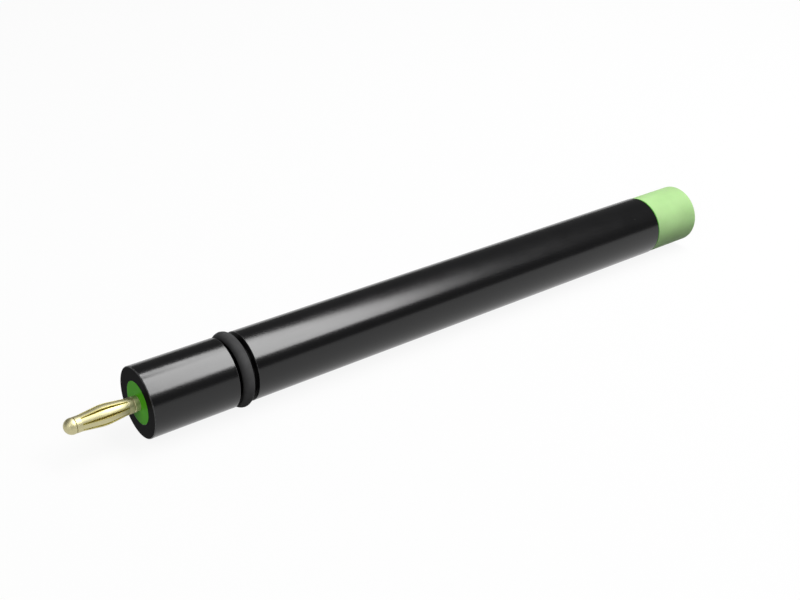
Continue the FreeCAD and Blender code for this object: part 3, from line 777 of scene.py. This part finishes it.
class PROBE_OT_stage(bpy.types.Operator):
    """Camera, pale floor, soft lamps and even room light"""
    bl_idname = "probe.stage"
    bl_label = "Stage"

    def execute(self, context):
        scene, s = context.scene, context.scene.probe_stage
        scene.view_settings.view_transform = "Standard"
        camera = placed("camera", bpy.data.cameras.new("camera"))
        camera.location = s.camera_place
        camera.rotation_euler = Vector(s.camera_aim).to_track_quat("-Z", "Y").to_euler()
        camera.data.lens = s.lens
        camera.data.clip_start = 0.01
        camera.data.clip_end = 50.0
        scene.camera = camera

        material, tree, shader = new_material("floor_paper", Roughness=0.9, Specular_IOR_Level=0.0)
        fibres = use_group(tree, group_mottle, {"Size": 120 * MM})
        ray = add_node(tree, "LightPath")
        pale = blended(tree, fibres, lighter(s.floor_seen, FIBRE_SHADE), s.floor_seen)
        tone = blended(tree, ray.outputs["Is Camera Ray"], s.floor_colour, pale)
        link(tree, tone, shader, "Base Color")
        seen = maths(tree, "ADD", ray.outputs["Is Camera Ray"], ray.outputs["Is Glossy Ray"])
        seen = maths(tree, "ADD", seen, ray.outputs["Is Transmission Ray"], clamp=True)
        white = add_node(tree, "Emission", {"Strength": 1.0})
        both = add_node(tree, "MixShader", {
            0: maths(tree, "MULTIPLY", seen, s.floor_white), 1: shader.outputs[0],
            2: white.outputs[0]})
        link(tree, both.outputs[0], tree.nodes["Material Output"], "Surface")
        vertices, faces = bowl_surface(s.floor_reach, s.rim_height, CAD_BOX[0][2])
        floor = smooth_object("floor", vertices, faces, material)

        away = Vector((0.0, -math.sin(s.key_tilt), math.cos(s.key_tilt)))
        across = Vector((0.0, math.cos(s.key_tilt), math.sin(s.key_tilt)))
        for name, (along_x, along_plane, part) in LAMPS.items():
            place = (away * s.key_distance + across * sum(along_plane) / 2
                     + Vector((sum(along_x) / 2, 0.0, 0.0)))
            lamp = soft_lamp(name, place, along_x[1] - along_x[0],
                             along_plane[1] - along_plane[0], part * s.key_radiance)
            lamp.rotation_euler = (s.key_tilt, 0.0, 0.0)
        side = soft_lamp("side", s.side_place, s.side_width, s.side_width, s.side_radiance)
        side.rotation_euler = Vector(s.side_place).to_track_quat("Z", "Y").to_euler()

        world = bpy.data.worlds.new("room")
        world.use_nodes = True
        ground = world.node_tree.nodes["Background"]
        ground.inputs["Color"].default_value = (1.0, 1.0, 1.0, 1.0)
        ground.inputs["Strength"].default_value = s.world_strength
        scene.world = world
        return {"FINISHED"}


class PROBE_OT_barrel(bpy.types.Operator):
    """Black turned barrel with its counterbores and the sealing ring's groove"""
    bl_idname = "probe.barrel"
    bl_label = "Barrel"

    def execute(self, context):
        s, finish = context.scene.probe_sizes, context.scene.probe_finish
        fine, edge, lip = s.fine_edge, s.barrel_edge, s.groove_edge
        bush = s.bush_radius + s.bond_gap
        floor = s.barrel_radius - s.groove_depth
        socket = s.barrel_length - s.socket_depth
        groove_end = s.groove_start + s.groove_width
        profile = rounded_profile([
            (0, bush, fine), (s.bush_length, bush, fine), (s.bush_length, s.bore_radius, fine),
            (socket, s.bore_radius, fine), (socket, s.socket_radius, fine),
            (s.barrel_length, s.socket_radius, fine), (s.barrel_length, s.barrel_radius, edge),
            (groove_end, s.barrel_radius, lip), (groove_end, floor, 3 * fine),
            (s.groove_start, floor, 3 * fine), (s.groove_start, s.barrel_radius, lip),
            (0, s.barrel_radius, edge)], True)
        polished = plastic("barrel_black", finish.barrel, finish.barrel_gloss, level=0.5,
                           pitch=0.13 * MM, depth=0.0004 * MM, worn_colour=finish.barrel_worn)
        faced = plastic("barrel_faced", finish.barrel, finish.face_gloss, level=0.01,
                        pitch=0.16 * MM, depth=0.0008 * MM, worn_colour=finish.barrel_worn)
        tube = new_piece("barrel_tube", turned_surface(profile, True, s.segments), polished,
                         "probe", "barrel_plastic", "barrel")
        tube.data.materials.append(faced)
        centre = np.empty(3 * len(tube.data.polygons))
        tube.data.polygons.foreach_get("center", centre)
        rear = (np.abs(centre[0::3]) < s.fine_edge / 20).astype(np.int32)
        tube.data.polygons.foreach_set("material_index", rear)
        return {"FINISHED"}


class PROBE_OT_tip(bpy.types.Operator):
    """Light green tip with its spigot, and the sensing membrane in its end"""
    bl_idname = "probe.tip"
    bl_label = "Tip and membrane"

    def execute(self, context):
        s, finish = context.scene.probe_sizes, context.scene.probe_finish
        fine, seam, chamfer = s.fine_edge, s.barrel_length, s.tip_seam_edge
        spigot, start = s.socket_radius - s.bond_gap, seam - s.socket_depth + s.spigot_gap
        front = seam - s.spigot_groove_start
        rear, floor = front - s.spigot_groove_width, s.socket_radius - s.spigot_groove_depth
        skin = s.tip_end - s.membrane_recess
        shelf, seat = skin - s.membrane_thickness, s.membrane_radius + s.bond_gap
        profile = rounded_profile([
            (start, s.chamber_radius, fine), (shelf, s.chamber_radius, fine), (shelf, seat, fine),
            (s.tip_end, seat, fine), (s.tip_end, s.tip_radius, s.tip_edge),
            (seam + chamfer, s.tip_radius, fine), (seam, s.tip_radius - chamfer, fine),
            (seam, spigot, fine), (front, spigot, fine), (front, floor, fine),
            (rear, floor, fine), (rear, spigot, fine), (start + s.spigot_edge, spigot, fine),
            (start, spigot - s.spigot_edge, fine)], True)
        material = plastic("tip_green", finish.tip, finish.tip_gloss, level=0.06, pitch=0.2 * MM,
                           depth=0.0012 * MM, worn_colour=lighter(finish.tip, 1.25), wear=0.3,
                           dust=0.1, cut=finish.tip_seam_shade, Subsurface_Weight=0.25,
                           Subsurface_Scale=2 * MM, Subsurface_Radius=(0.5, 1.0, 0.35))
        surface = turned_surface(profile, True, s.segments)
        # Painted shade: the seam chamfer and a strip beside it are marked for the deep green.
        surface[2]["cut"] = (surface[0][:, 0] < seam + chamfer + 0.1 * MM).astype(float)
        new_piece("tip_cap", surface, material, "probe", "tip_plastic", "sensing_tip")
        disc = rounded_profile([
            (skin, 0, 0), (skin, s.membrane_radius, 0.1 * MM), (shelf, s.membrane_radius, fine),
            (shelf, 0, 0)], False)
        film = soft_matter("membrane_film", finish.membrane, gloss=0.28, grain=0.25 * MM,
                           depth=0.004 * MM, Subsurface_Weight=0.25, Subsurface_Scale=0.6 * MM,
                           Coat_Weight=0.2)
        new_piece("membrane_disc", turned_surface(disc, False, s.segments), film, "probe",
                  "membrane", "sensing_membrane")
        return {"FINISHED"}


class PROBE_OT_bush(bpy.types.Operator):
    """Deep green bush in the rear face"""
    bl_idname = "probe.bush"
    bl_label = "Rear bush"

    def execute(self, context):
        s, finish = context.scene.probe_sizes, context.scene.probe_finish
        fine, outer = s.fine_edge, s.bush_radius
        bore, floor = s.barb_radius + s.bond_gap, outer - s.glue_groove_depth
        corners = [(0, bore, fine), (s.bush_length, bore, fine),
                   (s.bush_length, outer, 10 * fine)]
        for number in (2, 1):
            rear = number * s.glue_groove_pitch
            front = rear + s.glue_groove_width
            corners += [(front, outer, fine), (front, floor, fine), (rear, floor, fine),
                        (rear, outer, fine)]
        corners.append((0, outer, fine))
        material = plastic("bush_green", finish.bush, finish.bush_gloss, level=0.015,
                           pitch=0.16 * MM, depth=0.0005 * MM,
                           worn_colour=lighter(finish.bush, 1.4), wear=0.3, dust=0.1)
        surface = turned_surface(rounded_profile(corners, True), True, s.segments)
        new_piece("rear_bush", surface, material, "probe", "insulator_plastic", "rear_insulator")
        return {"FINISHED"}


class PROBE_OT_plug(bpy.types.Operator):
    """Gold plated pin with its ball head, and the sprung lantern cage that turns on it"""
    bl_idname = "probe.plug"
    bl_label = "Lantern plug"

    def execute(self, context):
        s, finish = context.scene.probe_sizes, context.scene.probe_finish
        fine = s.fine_edge / 2
        cup_floor, opening = s.shank_length - s.cup_depth, s.shank_length - s.cup_cut
        back = -(s.collar_length + 2 * s.cage_float + s.cage_length)
        corners = [(cup_floor, 0, 0), (cup_floor, s.cup_radius, fine), (opening, s.cup_radius, 0),
                   (s.shank_length, s.cup_radius, fine), (s.shank_length, s.shank_radius, fine),
                   (opening, s.shank_radius, 0)]
        for number in (2, 1, 0):
            rear = s.barb_start + number * s.barb_length
            corners += [(rear + s.barb_length / 2, s.shank_radius, fine),
                        (rear, s.barb_radius, fine), (rear, s.shank_radius, fine)]
        corners += [(0, s.shank_radius, fine), (0, s.collar_radius, fine),
                    (s.collar_edge - s.collar_length, s.collar_radius, fine),
                    (-s.collar_length, s.collar_radius - s.collar_edge, fine),
                    (-s.collar_length, s.core_radius, 0), (back, s.core_radius, 0)]
        centre = back - s.head_length + s.head_radius
        rim = math.acos((back - centre) / s.head_radius)
        ball = np.linspace(rim, np.pi, BALL_STEPS)
        arc = np.stack([centre + s.head_radius * np.cos(ball), s.head_radius * np.sin(ball),
                        0 * ball], -1).tolist()
        arc[0][2], arc[-1][1] = fine, 0.0
        profile = rounded_profile(corners + arc, False)
        surface = cup_opened(turned_surface(profile, False, s.pin_segments), profile, opening,
                             s.pin_segments)
        place = surface[0]
        # Painted shade: the pin's core inside the cage is marked for the inside colour.
        shaded_core = (place[:, 0] < -s.collar_length) & (place[:, 0] > back)
        shaded_core &= np.hypot(place[:, 1], place[:, 2]) < s.core_radius + fine / 2
        surface[2]["inside"] = shaded_core.astype(float)
        turned = metal("pin_gold", finish.gold, finish.gold_gloss, along=False,
                       inside=finish.gold_inside_shade)
        new_piece("plug_pin", surface, turned, "probe", "gold_contact", "contact_pin")

        # The cage's gold takes a painted shade along the sides of its leaves, by the slots.
        rolled = metal("cage_gold", finish.gold, finish.gold_gloss, along=True,
                       rim=finish.gold_edge_shade)
        cage = new_piece("plug_cage", cage_surface(s), rolled, "cage", "gold_contact",
                         "lantern_cage")
        # Painted shade: the cage's inner faces take the inside colour.
        cage.data.materials.append(metal("cage_inside_shade", finish.gold_inside_shade, gloss=0.4, along=True))
        wall = cage.modifiers.new("sheet", "SOLIDIFY")
        wall.thickness = s.sheet
        wall.offset = -1.0
        wall.material_offset = 1
        rounding = cage.modifiers.new("edges", "BEVEL")
        rounding.width = 0.03 * MM
        rounding.segments = 2
        rounding.limit_method = "ANGLE"
        rounding.angle_limit = math.radians(40.0)
        return {"FINISHED"}


class PROBE_OT_seal(bpy.types.Operator):
    """Black rubber sealing ring in the barrel's groove"""
    bl_idname = "probe.seal"
    bl_label = "Sealing ring"

    def execute(self, context):
        s, finish = context.scene.probe_sizes, context.scene.probe_finish
        middle = s.groove_start + s.groove_width / 2
        surface = torus_surface(middle, s.ring_radius, s.ring_section, s.ring_flash, s.segments)
        rubber = soft_matter("seal_rubber_black", finish.rubber, gloss=0.66, grain=0.12 * MM,
                             depth=0.003 * MM, Specular_IOR_Level=0.02)
        new_piece("seal_ring", surface, rubber, "probe", "seal_rubber", "body_seal_ring")
        return {"FINISHED"}


# Inner pieces of soft matter: name, colour and roughness of the material, size and depth of its
# grain in millimetres, and the shader's other settings.
INNER_SOFT = {
    "tip_seal_ring": ("tip_ring_rubber", (0.012, 0.012, 0.013), 0.6, 0.12, 0.003, {}),
    "filling_gel": ("electrolyte_gel", (0.75, 0.78, 0.8), 0.12, 1.5, 0.01,
                    {"Transmission_Weight": 0.6, "IOR": 1.36}),
    "inner_stopper": ("stopper_silicone", (0.45, 0.12, 0.08), 0.5, 0.2, 0.004, {}),
    "lead_insulation": ("lead_jacket", (0.55, 0.02, 0.02), 0.4, 0.15, 0.002, {}),
    "splice_sleeve": ("sleeve_shrunk", (0.02, 0.02, 0.02), 0.38, 0.3, 0.006, {}),
    "rear_potting": ("potting_cast", (0.04, 0.035, 0.03), 0.3, 0.8, 0.008, {}),
}

# Inner pieces of metal: name, colour and roughness of the material, and whether its lines lie
# along X.
INNER_METAL = {
    "silver_wire": ("silver_chlorided", (0.50, 0.48, 0.47), 0.42, True),
    "lead_conductor": ("lead_copper", (0.86, 0.47, 0.30), 0.28, True),
    "splice_ferrule": ("ferrule_tin", (0.72, 0.72, 0.70), 0.34, False),
    "solder_joint": ("solder_tin", (0.66, 0.67, 0.68), 0.3, False),
}


def finish_node(node, material):
    """Gives a solid of the CAD another material."""
    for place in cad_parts[node].material_slots:
        place.material = material


class PROBE_OT_inside(bpy.types.Operator):
    """Finishes of the pieces inside the barrel"""
    bl_idname = "probe.inside"
    bl_label = "Inner pieces"

    def execute(self, context):
        for node, (name, base, gloss, grain, depth, more) in INNER_SOFT.items():
            finish_node(node, soft_matter(name, base, gloss, grain * MM, depth * MM, **more))
        for node, (name, base, gloss, along) in INNER_METAL.items():
            finish_node(node, metal(name, base, gloss, along))
        return {"FINISHED"}


class PROBE_PT_panel(bpy.types.Panel):
    """Steps and settings of the probe"""
    bl_idname = "PROBE_PT_panel"
    bl_label = "Nitrate probe"
    bl_space_type = "VIEW_3D"
    bl_region_type = "UI"
    bl_category = "Probe"

    def draw(self, context):
        for step in STEPS:
            self.layout.operator(step.bl_idname)
        for group in (context.scene.probe_finish, context.scene.probe_stage):
            box = self.layout.box()
            for name in group.__annotations__:
                box.prop(group, name)


STEPS = (PROBE_OT_stage, PROBE_OT_barrel, PROBE_OT_tip, PROBE_OT_bush, PROBE_OT_plug,
         PROBE_OT_seal, PROBE_OT_inside)
SETTINGS = {"probe_sizes": ProbeSizes, "probe_finish": ProbeFinish, "probe_stage": ProbeStage}


def register():
    for kind in (*SETTINGS.values(), *STEPS, PROBE_PT_panel):
        bpy.utils.register_class(kind)
    for name, kind in SETTINGS.items():
        setattr(bpy.types.Scene, name, PointerProperty(type=kind))


def unregister():
    for name in SETTINGS:
        delattr(bpy.types.Scene, name)
    for kind in reversed((*SETTINGS.values(), *STEPS, PROBE_PT_panel)):
        bpy.utils.unregister_class(kind)


def main():
    register()
    bpy.ops.probe.stage()
    bpy.ops.probe.barrel()
    bpy.ops.probe.tip()
    bpy.ops.probe.bush()
    bpy.ops.probe.plug()
    bpy.ops.probe.seal()
    bpy.ops.probe.inside()


if __name__ == "__main__":
    main()
